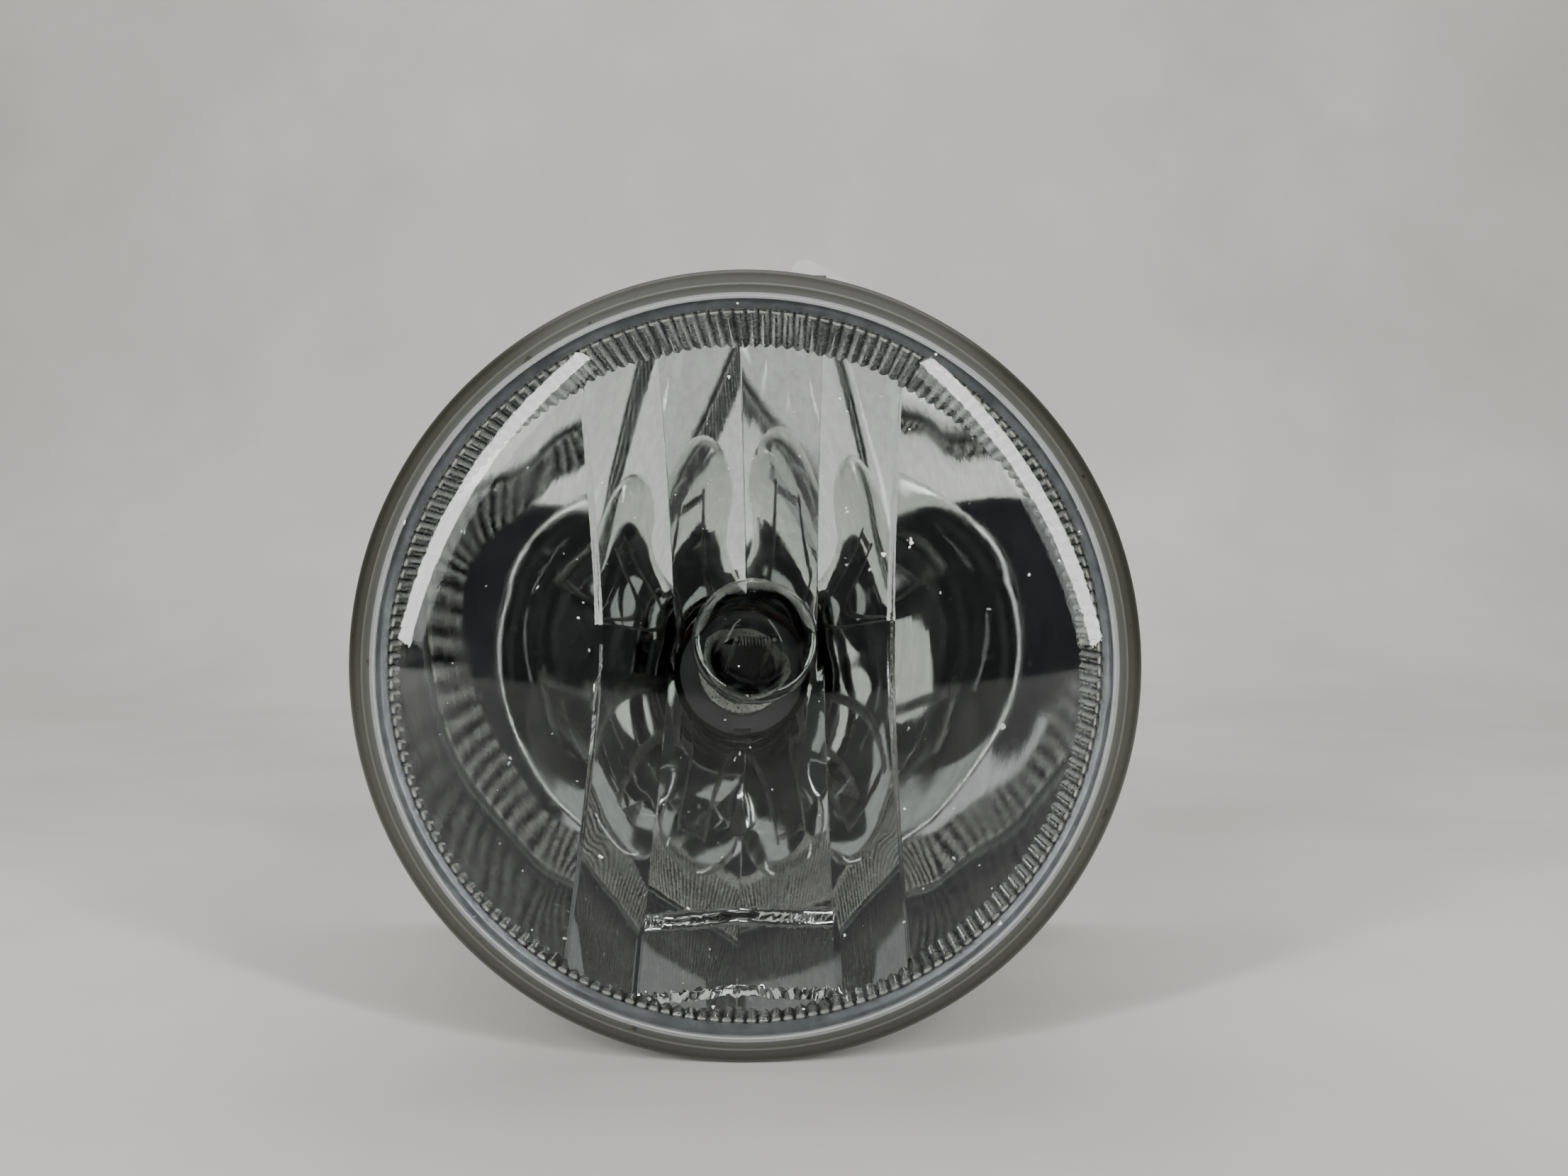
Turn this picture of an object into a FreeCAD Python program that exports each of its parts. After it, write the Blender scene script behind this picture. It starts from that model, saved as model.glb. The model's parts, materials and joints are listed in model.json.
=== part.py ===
"""Round front fog lamp with a raked beam, its aiming bracket and its twist-in bulb, in mm.

The lens faces -Y and +Z is up. The origin is the middle of the four bolt holes, in the
bracket's back face. The rim of the lens lies in the plane y = rim_y. The beam points up
and to the right of the rim's own axis, so the reflector bowl, the bulb and the bulb's
collar follow a second axis, the lamp axis, that is tilted against the rim.
Along the lamp axis, distances are counted backwards from the bulb hole in the reflector.
"""
import FreeCAD, Part
import math
import os

import Sketcher

Vector = FreeCAD.Vector
BACKWARDS = Vector(0, 1, 0)

SIZES = {
    # rim and lens
    "rim_y": -65.0,
    "rim_radius": 49.0,
    "flange_thick": 2.6,
    "shoulder_radius": 45.0,
    "shoulder_rise": 3.0,
    "dome_rise": 8.0,
    "glass_thick": 3.2,
    "foot_inner": 46.5,
    "foot_outer": 47.5,
    "foot_depth": 5.5,
    # reflector
    "mirror_radius": 43.4,
    "mirror_front": 1.3,
    "mirror_lip": 44.9,
    "mirror_flange": 45.8,
    "mirror_flange_front": 0.5,
    "mirror_wall": 1.2,
    "bowl_edge_radius": 43.1,
    "bowl_edge_depth": 10.0,
    "bowl_edge_pitch": 8.8,
    "bowl_edge_yaw": 3.3,
    "bowl_skin": 1.8,
    "vent_hole_radius": 1.4,
    "vent_hole_x": -1.7,
    "vent_hole_z": -25.6,
    # lamp axis and bulb hole
    "hole_x": -1.8,
    "hole_depth": 46.0,
    "hole_z": -3.6,
    "hole_radius": 10.8,
    "beam_pitch": 14.9,
    "beam_yaw": 6.5,
    # housing
    "housing_radius": 47.4,
    "housing_wall": 2.2,
    "housing_straight": 26.0,
    "housing_back": 54.2,
    "lip_radius": 48.6,
    "groove_inner": 46.0,
    "groove_outer": 48.0,
    "groove_floor": 6.9,
    "collar_radius": 17.5,
    "collar_end": 15.4,
    "collar_bore": 12.2,
    "lip_bore": 12.6,
    "lug_space_radius": 15.2,
    "lug_space_start": 11.0,
    "lug_space_end": 13.4,
    # aiming
    "pivot_depth": 30.0,
    "boss_radius": 5.5,
    "boss_end": 47.6,
    "arm_inner": 48.2,
    "arm_thick": 3.0,
    "stud_radius": 3.0,
    "running_gap": 0.05,
    "bush_radius": 4.5,
    "screw_x": 8.0,
    "screw_z": 50.0,
    "screw_radius": 2.0,
    "screw_tip_depth": 19.0,
    "nut_depth": 26.0,
    "nut_radius": 3.7,
    "ear_half": 6.0,
    "ear_top": 53.9,
    "ear_peak": 55.45,
    # bracket
    "plate_thick": 4.0,
    "plate_half_x": 55.0,
    "plate_half_z": 39.0,
    "plate_corner": 10.0,
    "rib_height": 3.0,
    "rib_thick": 1.8,
    "tab_back": -3.0,
    "tab_thick": 5.0,
    "window_radius": 34.0,
    "bolt_x": 46.0,
    "bolt_z": 30.0,
    "bolt_hole": 3.3,
    "sleeve_radius": 4.6,
    # vent
    "vent_x": 19.0,
    "vent_z": 14.0,
    "nipple_start": 50.0,
    "nipple_radius": 4.0,
    "nipple_bore": 2.5,
    "nipple_end": 57.0,
    "cap_radius": 6.4,
    "cap_start": 54.6,
    "cap_end": 60.4,
    # bulb, along the lamp axis from the bulb hole, backwards
    "globe_radius": 9.0,
    "globe_centre": -21.9,
    "neck_radius": 5.5,
    "neck_end": 12.0,
    "bulb_wall": 0.8,
    "base_nose_radius": 10.0,
    "base_front": 2.0,
    "base_radius": 11.2,
    "seal_middle": 8.0,
    "seal_wire": 0.9,
    "lug_radius": 14.8,
    "lug_start": 11.3,
    "lug_end": 13.1,
    "grip_radius": 15.5,
    "grip_start": 15.9,
    "grip_end": 18.0,
    "shroud_start": 24.0,
    "shroud_end": 39.0,
    "shroud_width": 19.0,
    "shroud_height": 12.0,
    "shroud_wall": 1.3,
    "filament_length": 4.4,
    "filament_radius": 0.6,
}

doc = FreeCAD.newDocument("fog_lamp")
sheet = doc.addObject("Spreadsheet::Sheet", "Dims")
for row, (alias, value) in enumerate(SIZES.items(), start=1):
    sheet.set(f"A{row}", alias)
    sheet.set(f"B{row}", str(value))
    sheet.setAlias(f"B{row}", alias)
doc.recompute()


def bound(expression):
    """Write each sheet alias in an expression as a reference to the sheet."""
    words = []
    for word in expression.split():
        bare = word.strip("()")
        words.append(word.replace(bare, f"Dims.{bare}") if bare in SIZES else word)
    return " ".join(words)


def size(expression):
    """The number that an expression of sheet aliases stands for."""
    return float(sheet.evalExpression(bound(expression)))


def at_depth(expression):
    """An expression for the y of a place counted back from the plane of the rim."""
    return f"rim_y + {expression}"


def lamp_axis():
    """The direction of the lamp axis, backwards."""
    pitch = math.radians(size("beam_pitch"))
    yaw = math.radians(size("beam_yaw"))
    direction = Vector(-math.tan(yaw), 1.0, -math.tan(pitch))
    return direction.normalize()


def hole_centre():
    """The middle of the bulb hole in the reflector, where the lamp axis starts."""
    return Vector(size("hole_x"), size(at_depth("hole_depth")), size("hole_z"))


def on_lamp_axis(distance=0.0):
    """The placement that lays a piece's own Y axis on the lamp axis."""
    turn = FreeCAD.Rotation(BACKWARDS, lamp_axis())
    return FreeCAD.Placement(hole_centre() + lamp_axis() * distance, turn)


def along(direction, place):
    """The placement that lays a primitive's own Z axis along a direction."""
    return FreeCAD.Placement(place, FreeCAD.Rotation(Vector(0, 0, 1), direction))


def plane_of(body, role):
    """One of a body's own origin planes."""
    return [item for item in body.Origin.OriginFeatures if item.Role == role][0]


def new_sketch(body, name, role):
    """An empty sketch on one of the body's origin planes."""
    sketch = body.newObject("Sketcher::SketchObject", name)
    sketch.AttachmentSupport = [(plane_of(body, role), "")]
    sketch.MapMode = "FlatFace"
    return sketch


def pin_point(sketch, edge, end, across, up):
    """Bind one sketch point to the sheet, by its distances from the sketch's axes."""
    for kind, axis, expression in (("DistanceX", -2, across), ("DistanceY", -1, up)):
        value = size(expression)
        if abs(value) < 1e-9:
            sketch.addConstraint(Sketcher.Constraint("PointOnObject", edge, end, axis))
        else:
            rule = sketch.addConstraint(Sketcher.Constraint(kind, -1, 1, edge, end, value))
            sketch.setExpression(f"Constraints[{rule}]", bound(expression))


def draw_outline(sketch, points, arcs=()):
    """Draw a closed outline; the edges listed in arcs are centred on the upright axis."""
    corners = [Vector(size(across), size(up), 0) for across, up in points]
    ends = []
    for index, here in enumerate(corners):
        there = corners[(index + 1) % len(corners)]
        if index in arcs:
            rise = 2 * (here.y - there.y)
            middle = (here.x**2 + here.y**2 - there.x**2 - there.y**2) / rise
            radius = math.hypot(here.x, here.y - middle)
            first = math.atan2(here.y - middle, here.x)
            last = math.atan2(there.y - middle, there.x)
            forwards = (last - first) % (2 * math.pi) < math.pi
            span = (first, last) if forwards else (last, first)
            circle = Part.Circle(Vector(0, middle, 0), Vector(0, 0, 1), radius)
            edge = sketch.addGeometry(Part.ArcOfCircle(circle, *span), False)
            ends.append((edge, 1, 2) if forwards else (edge, 2, 1))
            sketch.addConstraint(Sketcher.Constraint("PointOnObject", edge, 3, -2))
        else:
            edge = sketch.addGeometry(Part.LineSegment(here, there), False)
            ends.append((edge, 1, 2))
    for index, (edge, start, finish) in enumerate(ends):
        following, its_start, _ = ends[(index + 1) % len(ends)]
        joined = Sketcher.Constraint("Coincident", edge, finish, following, its_start)
        sketch.addConstraint(joined)
        across, up = points[index]
        pin_point(sketch, edge, start, across, up)


def turned(name, points, arcs=()):
    """A body turned about its own Y axis from an outline of (radius, y) points."""
    body = doc.addObject("PartDesign::Body", name)
    sketch = new_sketch(body, f"{name}_outline", "XY_Plane")
    draw_outline(sketch, points, arcs)
    turn = body.newObject("PartDesign::Revolution", f"{name}_turn")
    turn.Profile = sketch
    turn.ReferenceAxis = (sketch, ["V_Axis"])
    turn.Angle = 360
    return body


def ring(name, inner, outer, front, back):
    """A plain turned ring between two radii and two places on Y."""
    return turned(name, [(inner, front), (outer, front), (outer, back), (inner, back)])


def rod(name, radius, length, direction, place, angle="360"):
    """A cylinder, or a slice of one, along a direction."""
    piece = doc.addObject("Part::Cylinder", name)
    piece.setExpression("Radius", bound(radius))
    piece.setExpression("Height", bound(length))
    piece.setExpression("Angle", bound(angle))
    piece.Placement = along(direction, place)
    return piece


def block(name, low, high):
    """A box between two corners given as sheet expressions."""
    piece = doc.addObject("Part::Box", name)
    for side, start, finish in zip(("Length", "Width", "Height"), low, high):
        piece.setExpression(side, bound(f"( {finish} ) - ( {start} )"))
    piece.Placement.Base = Vector(*[size(value) for value in low])
    return piece


def joined(name, pieces):
    """Several pieces made one."""
    whole = doc.addObject("Part::MultiFuse", name)
    whole.Shapes = pieces
    whole.Refine = True
    return whole


def less(name, base, tools):
    """A piece with others taken away from it."""
    rest = doc.addObject("Part::Cut", name)
    rest.Base = base
    rest.Tool = tools[0] if len(tools) == 1 else joined(f"{name}_tools", tools)
    rest.Refine = True
    return rest


def group(name, pieces):
    """Separate solids kept in one node."""
    whole = doc.addObject("Part::Compound", name)
    whole.Links = pieces
    return whole


def make_lens():
    """Domed glass with a flange that slopes back to the rim and a foot for the adhesive."""
    inside_rise = "dome_rise - glass_thick"
    points = [
        ("0", "rim_y - dome_rise"),
        ("shoulder_radius", "rim_y - shoulder_rise"),
        ("rim_radius - 0.3", "rim_y - 0.2"),
        ("rim_radius", "rim_y + 0.3"),
        ("rim_radius", "rim_y + flange_thick"),
        ("foot_outer", "rim_y + flange_thick"),
        ("foot_outer", "rim_y + foot_depth"),
        ("foot_inner", "rim_y + foot_depth"),
        ("foot_inner", "rim_y + 0.1"),
        ("mirror_radius", "rim_y + 0.1"),
        ("0", f"rim_y - ( {inside_rise} )"),
    ]
    return turned("lens", points, arcs=(0, 9))


def make_lens_adhesive():
    """The bead that fills the housing's groove round the lens foot."""
    gap = 0.05
    points = [
        (f"groove_inner + {gap}", at_depth("4.0")),
        (f"foot_inner - {gap}", at_depth("4.0")),
        (f"foot_inner - {gap}", at_depth(f"foot_depth + {gap}")),
        (f"foot_outer + {gap}", at_depth(f"foot_depth + {gap}")),
        (f"foot_outer + {gap}", at_depth("4.0")),
        (f"groove_outer - {gap}", at_depth("4.0")),
        (f"groove_outer - {gap}", at_depth(f"groove_floor - {gap}")),
        (f"groove_inner + {gap}", at_depth(f"groove_floor - {gap}")),
    ]
    return turned("lens_adhesive", points)


def bowl_circle(name, share, thicker, further):
    """One round section of the reflector bowl; share is 0 at its edge and 1 at the hole.

    The radius runs evenly from the edge to the hole, the depth follows a parabola in the
    radius, and the middle and the tilt go over evenly from the rim's axis to the lamp's.
    """
    edge = size("bowl_edge_radius")
    hole = size("hole_radius")
    radius = edge + (hole - edge) * share
    fall = (edge**2 - radius**2) / (edge**2 - hole**2)
    depth = size("bowl_edge_depth") + (size("hole_depth") - size("bowl_edge_depth")) * fall
    pitch = size("bowl_edge_pitch") + (size("beam_pitch") - size("bowl_edge_pitch")) * fall
    yaw = size("bowl_edge_yaw") + (size("beam_yaw") - size("bowl_edge_yaw")) * fall
    normal = Vector(-math.tan(math.radians(yaw)), 1.0, -math.tan(math.radians(pitch)))
    middle = Vector(size("hole_x") * fall, size("rim_y") + depth, size("hole_z") * fall)
    circle = doc.addObject("Part::Circle", name)
    circle.Radius = radius + thicker
    circle.Placement = along(normal.normalize(), middle + normal * further)
    return circle


def bowl(name, thicker, further):
    """The smooth bowl through five round sections, closed at both ends."""
    shares = (0.0, 0.25, 0.5, 0.75, 1.0)
    loft = doc.addObject("Part::Loft", name)
    loft.Sections = [
        bowl_circle(f"{name}_{index}", share, thicker, further)
        for index, share in enumerate(shares)
    ]
    loft.Solid = True
    loft.Ruled = False
    return loft


def wall(name, thicker, further):
    """The straight wall from the mouth back to the bowl's edge."""
    mouth = doc.addObject("Part::Circle", f"{name}_mouth")
    mouth.Radius = size("mirror_radius") + thicker
    mouth.Placement = along(BACKWARDS, Vector(0, size(at_depth("mirror_front")), 0))
    loft = doc.addObject("Part::Loft", name)
    loft.Sections = [mouth, bowl_circle(f"{name}_edge", 0.0, thicker, further)]
    loft.Solid = True
    loft.Ruled = True
    return loft


def make_reflector():
    """Thin mirror shell: flange, round wall and tilted bowl with the bulb and vent holes."""
    flange_points = [
        ("0", at_depth("mirror_flange_front")),
        ("mirror_flange", at_depth("mirror_flange_front")),
        ("mirror_flange", at_depth("flange_thick - 0.2")),
        ("0", at_depth("flange_thick - 0.2")),
    ]
    mouth_points = [
        ("0", at_depth("0.4")),
        ("mirror_lip", at_depth("0.4")),
        ("mirror_lip", at_depth("mirror_flange_front")),
        ("mirror_radius", at_depth("mirror_front")),
        ("mirror_radius", at_depth("mirror_front + 0.1")),
        ("0", at_depth("mirror_front + 0.1")),
    ]
    skin = size("bowl_skin")
    outside = joined("reflector_outside", [
        turned("reflector_flange", flange_points),
        wall("reflector_wall_out", size("mirror_wall"), skin),
        bowl("reflector_bowl_out", size("mirror_wall"), skin),
    ])
    axis = lamp_axis()
    vent_place = Vector(size("vent_hole_x"), size(at_depth("20.0")), size("vent_hole_z"))
    return less("reflector", outside, [
        turned("reflector_mouth", mouth_points),
        wall("reflector_wall_in", 0.0, 0.0),
        bowl("reflector_bowl_in", 0.0, 0.0),
        rod("reflector_hole", "hole_radius", "8.0", axis, hole_centre() - axis * 2.0),
        rod("reflector_vent", "vent_hole_radius", "30.0", BACKWARDS, vent_place),
    ])


def housing_shell():
    """Turned cup: grooved front lip, straight wall, cone and flat back."""
    outer_cone = "housing_radius - 12.0"
    inner = "housing_radius - housing_wall"
    points = [
        (inner, at_depth("flange_thick - 0.2")),
        ("groove_inner", at_depth("flange_thick - 0.2")),
        ("groove_inner", at_depth("groove_floor")),
        ("groove_outer", at_depth("groove_floor")),
        ("groove_outer", at_depth("flange_thick + 0.1")),
        ("lip_radius", at_depth("flange_thick + 0.1")),
        ("lip_radius", at_depth("groove_floor + 1.6")),
        ("housing_radius", at_depth("groove_floor + 3.0")),
        ("housing_radius", at_depth("housing_straight")),
        (outer_cone, at_depth("housing_back - 10.0")),
        ("20.0", at_depth("housing_back")),
        ("0", at_depth("housing_back")),
        ("0", at_depth("housing_back - housing_wall")),
        ("18.8", at_depth("housing_back - housing_wall")),
        (f"{outer_cone} - housing_wall", at_depth("housing_back - 11.2")),
        (inner, at_depth("housing_straight - 0.8")),
    ]
    return turned("housing_shell", points)


def adjuster_ear():
    """The ear on top of the housing, whose upright bore takes the ball nut."""
    front = "nut_depth - ear_half"
    ear = doc.addObject("PartDesign::Body", "ear_solid")
    sketch = new_sketch(ear, "ear_outline", "XZ_Plane")
    draw_outline(sketch, [
        ("screw_x - ear_half", "45.8"),
        ("screw_x + ear_half", "45.8"),
        ("screw_x + ear_half", "ear_peak - 3.1"),
        ("screw_x + 0.4", "ear_peak"),
        ("screw_x - 0.8", "ear_peak"),
        ("screw_x - 1.8", "ear_peak - 0.5"),
        ("screw_x - 2.2", "ear_top"),
        ("screw_x - ear_half", "ear_top - 0.4"),
    ])
    pad = ear.newObject("PartDesign::Pad", "ear_pad")
    pad.Profile = sketch
    pad.setExpression("Length", "2 * Dims.ear_half")
    pad.Reversed = True
    ear.Placement.Base = Vector(0, size(at_depth(front)), 0)
    place = Vector(size("screw_x"), size(at_depth("nut_depth")), size("screw_z - 4.2"))
    bore = rod("ear_bore", "nut_radius + 0.1", "20.0", Vector(0, 0, 1), place)
    slot = block(
        "ear_slot",
        ("screw_x - 2.7", at_depth(f"{front} - 1.0"), "screw_z - 3.3"),
        ("screw_x + 2.7", at_depth(f"{front} + 2 * ear_half + 1.0"), "screw_z + 3.3"),
    )
    return ear, [bore, slot]


def make_housing():
    """Moulded housing: shell, bulb collar with its three lips, pivot bosses, ear, nipple."""
    axis = lamp_axis()
    middle = hole_centre()
    collar = rod("housing_collar", "collar_radius", "collar_end - 4.0", axis, middle + axis * 4.0)
    bosses = []
    for side, way in (("left", -1), ("right", 1)):
        place = Vector(way * 40.0, size(at_depth("pivot_depth")), 0)
        length = "boss_end - 40.0"
        bosses.append(rod(f"boss_{side}", "boss_radius", length, Vector(way, 0, 0), place))
    nipple_place = Vector(size("vent_x"), size(at_depth("nipple_start")), size("vent_z"))
    nipple = rod("vent_nipple", "nipple_radius", "nipple_end - nipple_start", BACKWARDS,
                 nipple_place)
    ribs = []
    for index, angle in enumerate((25, 65, 115, 155, 205, 250, 290, 335)):
        rib = block(
            f"housing_rib_{index}",
            ("36.0", at_depth("10.5"), "-0.9"),
            ("housing_radius + 0.9", at_depth("housing_straight + 3.0"), "0.9"),
        )
        around_rim_axis = FreeCAD.Rotation(Vector(0, -1, 0), angle)
        rib.Placement = FreeCAD.Placement(Vector(), around_rim_axis).multiply(rib.Placement)
        ribs.append(rib)
    ear, ear_cuts = adjuster_ear()
    whole = joined("housing_solid", [housing_shell(), collar, nipple, ear] + bosses + ribs)
    inside_points = [
        ("0", at_depth("0.0")),
        ("housing_radius - housing_wall", at_depth("0.0")),
        ("housing_radius - housing_wall", at_depth("housing_straight - 0.8")),
        ("housing_radius - 12.0 - housing_wall", at_depth("housing_back - 11.2")),
        ("18.8", at_depth("housing_back - housing_wall")),
        ("0", at_depth("housing_back - housing_wall")),
    ]
    inside = turned("housing_inside", inside_points)
    keep_collar = rod("collar_keep", "collar_radius", "20.0", axis, middle + axis * 4.0)
    cuts = [less("housing_room", inside, [keep_collar])]
    cuts.append(rod("collar_bore_cut", "collar_bore", "14.0", axis, middle))
    lips_start = size("lug_space_start")
    cuts.append(rod("collar_lip_cut", "lip_bore", "6.0", axis, middle + axis * lips_start))
    room = "lug_space_end - lug_space_start"
    lug_place = middle + axis * lips_start
    cuts.append(rod("collar_lug_room", "lug_space_radius", room, axis, lug_place))
    gap_place = on_lamp_axis(size("lug_space_end") - 0.1)
    for index in range(3):
        gap = doc.addObject("Part::Cylinder", f"collar_gap_{index}")
        gap.setExpression("Radius", "Dims.lug_space_radius")
        gap.Height = 4.0
        gap.Angle = 80.0
        upright = FreeCAD.Rotation(Vector(1, 0, 0), -90)
        start = FreeCAD.Rotation(BACKWARDS, 20 + 120 * index)
        gap.Placement = FreeCAD.Placement(gap_place.Base, gap_place.Rotation * start * upright)
        cuts.append(gap)
    cuts.append(rod("nipple_bore_cut", "nipple_bore", "20.0", BACKWARDS,
                    nipple_place - BACKWARDS * 6.0))
    for side, way in (("left", -1), ("right", 1)):
        place = Vector(way * size("boss_end"), size(at_depth("pivot_depth")), 0)
        cuts.append(rod(f"boss_hole_{side}", "2.02", "5.0", Vector(-way, 0, 0), place))
    return less("housing", whole, cuts + ear_cuts)


def make_vent():
    """The push-on cap of the vent nipple and the breathing disc inside it."""
    place = Vector(size("vent_x"), 0, size("vent_z"))
    cap = turned("vent_cap", [
        ("nipple_radius + 0.05", at_depth("cap_start")),
        ("cap_radius - 0.6", at_depth("cap_start")),
        ("cap_radius", at_depth("cap_start + 0.8")),
        ("cap_radius", at_depth("cap_end - 1.2")),
        ("cap_radius - 1.2", at_depth("cap_end")),
        ("0", at_depth("cap_end")),
        ("0", at_depth("cap_end - 1.4")),
        ("nipple_radius + 0.05", at_depth("cap_end - 1.4")),
    ])
    cap.Placement.Base = place
    disc = turned("vent_membrane", [
        ("0", at_depth("nipple_end + 0.05")),
        ("nipple_radius - 0.1", at_depth("nipple_end + 0.05")),
        ("nipple_radius - 0.1", at_depth("nipple_end + 0.4")),
        ("0", at_depth("nipple_end + 0.4")),
    ])
    disc.Placement.Base = place


def make_pivots():
    """On each side a shouldered stud in the housing turns in a bush in the bracket's arm."""
    for side, way in (("left", -1), ("right", 1)):
        sideways = FreeCAD.Rotation(BACKWARDS, Vector(way, 0, 0))
        place = Vector(0, size(at_depth("pivot_depth")), 0)
        stud = turned(f"pivot_stud_{side}", [
            ("0", "43.0"),
            ("2.0", "43.0"),
            ("2.0", "boss_end"),
            ("stud_radius", "boss_end"),
            ("stud_radius", "arm_inner + arm_thick + 0.3"),
            ("5.4", "arm_inner + arm_thick + 0.3"),
            ("5.4", "arm_inner + arm_thick + 1.8"),
            ("4.4", "arm_inner + arm_thick + 2.6"),
            ("2.2", "arm_inner + arm_thick + 2.6"),
            ("1.9", "arm_inner + arm_thick + 1.0"),
            ("0", "arm_inner + arm_thick + 1.0"),
        ])
        stud.Placement = FreeCAD.Placement(place, sideways)
        bush = turned(f"pivot_bush_{side}", [
            ("stud_radius + running_gap", "boss_end + 0.3"),
            ("6.2", "boss_end + 0.3"),
            ("6.2", "arm_inner"),
            ("bush_radius", "arm_inner"),
            ("bush_radius", "arm_inner + arm_thick"),
            ("stud_radius + running_gap", "arm_inner + arm_thick"),
        ])
        bush.Placement = FreeCAD.Placement(place, sideways)


def plate_outline(name, inset, length):
    """The bracket's rectangle with cut corners, inset on all sides, padded forwards."""
    body = doc.addObject("PartDesign::Body", name)
    sketch = new_sketch(body, f"{name}_outline", "XZ_Plane")
    x = f"( plate_half_x - {inset} )"
    z = f"( plate_half_z - {inset} )"
    corner = f"( plate_corner - 0.4 * {inset} )"
    draw_outline(sketch, [
        (f"{corner} - {x}", f"0 - {z}"),
        (f"{x} - {corner}", f"0 - {z}"),
        (x, f"{corner} - {z}"),
        (x, f"{z} - {corner}"),
        (f"{x} - {corner}", z),
        (f"{corner} - {x}", z),
        (f"0 - {x}", f"{z} - {corner}"),
        (f"0 - {x}", f"{corner} - {z}"),
    ])
    pad = body.newObject("PartDesign::Pad", f"{name}_pad")
    pad.Profile = sketch
    pad.setExpression("Length", bound(length))
    return body


def screw_tab():
    """The tab above the plate, stepped forwards, that carries the aiming screw."""
    body = doc.addObject("PartDesign::Body", "screw_tab")
    sketch = new_sketch(body, "screw_tab_outline", "XZ_Plane")
    draw_outline(sketch, [
        ("screw_x - 15.0", "window_radius + 2.0"),
        ("screw_x + 15.0", "window_radius + 2.0"),
        ("screw_x + 8.5", "screw_z + 3.0"),
        ("screw_x + 5.0", "screw_z + 7.0"),
        ("screw_x - 5.0", "screw_z + 7.0"),
        ("screw_x - 8.5", "screw_z + 3.0"),
    ])
    pad = body.newObject("PartDesign::Pad", "screw_tab_pad")
    pad.Profile = sketch
    pad.setExpression("Length", "Dims.tab_thick")
    body.Placement.Base = Vector(0, size("tab_back"), 0)
    return body


def make_bracket():
    """Moulded frame: ribbed plate with a window, four bolt bosses, two arms, a screw tab."""
    front = "plate_thick + rib_height"
    plate = plate_outline("bracket_plate", "0.0", "plate_thick")
    rim = less("bracket_rim", plate_outline("bracket_rim_out", "0.0", front),
               [plate_outline("bracket_rim_in", "rib_thick", f"{front} + 1.0")])
    solids = [plate, rim, screw_tab()]
    solids.append(rod("window_wall", "window_radius + rib_thick", front, -BACKWARDS, Vector()))
    cuts = [rod("bracket_window", "window_radius", f"{front} + 2.0", -BACKWARDS,
                Vector(0, 1, 0))]
    reach = math.hypot(size("bolt_x"), size("bolt_z"))
    slope = math.degrees(math.atan2(size("bolt_z"), size("bolt_x")))
    for across in (-1, 1):
        for up in (-1, 1):
            tag = f"{across + 1}{up + 1}"
            place = Vector(across * size("bolt_x"), 0, up * size("bolt_z"))
            solids.append(rod(f"bolt_boss_{tag}", "sleeve_radius + 3.0", front,
                              -BACKWARDS, place))
            cuts.append(rod(f"bolt_cut_{tag}", "sleeve_radius", f"{front} + 2.0",
                            -BACKWARDS, place + BACKWARDS))
            rib = block(f"plate_rib_{tag}",
                        ("window_radius + 1.0", f"0 - ( {front} )", "0 - rib_thick / 2"),
                        (str(reach - 6.0), "0 - 1.0", "rib_thick / 2"))
            angle = slope * up if across > 0 else 180 - slope * up
            turn = FreeCAD.Placement(Vector(), FreeCAD.Rotation(Vector(0, -1, 0), angle))
            rib.Placement = turn.multiply(rib.Placement)
            solids.append(rib)
    pivot = size(at_depth("pivot_depth"))
    for side, way in (("left", -1), ("right", 1)):
        low, high = sorted((way * size("arm_inner"), way * size("arm_inner + arm_thick")))
        arm = block(f"arm_{side}", (str(low), str(pivot), "-8.0"), (str(high), "-1.0", "8.0"))
        eye = rod(f"arm_eye_{side}", "8.0", "arm_thick", Vector(way, 0, 0),
                  Vector(way * size("arm_inner"), pivot, 0))
        outer = size("arm_inner + arm_thick") - 0.5
        low, high = sorted((way * outer, way * (outer + 2.9)))
        solids += [arm, eye]
        for index, middle in enumerate((-7.1, 0.0, 7.1)):
            start = pivot + (9.0 if middle == 0.0 else 3.0)
            solids.append(block(f"arm_rib_{side}_{index}", (str(low), str(start),
                                                            str(middle - 0.9)),
                                (str(high), "-1.0", str(middle + 0.9))))
        cuts.append(rod(f"arm_hole_{side}", "bush_radius", "20.0", Vector(way, 0, 0),
                        Vector(way * (size("arm_inner") - 4), pivot, 0)))
    screw = Vector(size("screw_x"), size("tab_back"), size("screw_z"))
    cuts.append(rod("screw_cut", "bush_radius", "tab_thick + 4.0", -BACKWARDS,
                    screw + BACKWARDS * 2))
    return less("bracket", joined("bracket_solid", solids), cuts)


def make_bolt_sleeves():
    """Four steel sleeves that take the bolts' clamping force through the plate."""
    sleeves = []
    for across in (-1, 1):
        for up in (-1, 1):
            tag = f"{across + 1}{up + 1}"
            sleeve = ring(f"bolt_sleeve_{tag}", "bolt_hole", "sleeve_radius",
                          "0 - plate_thick - rib_height - 0.2", "0")
            sleeve.Placement.Base = Vector(across * size("bolt_x"), 0, up * size("bolt_z"))
            sleeves.append(sleeve)
    return group("bolt_sleeves", sleeves)


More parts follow.
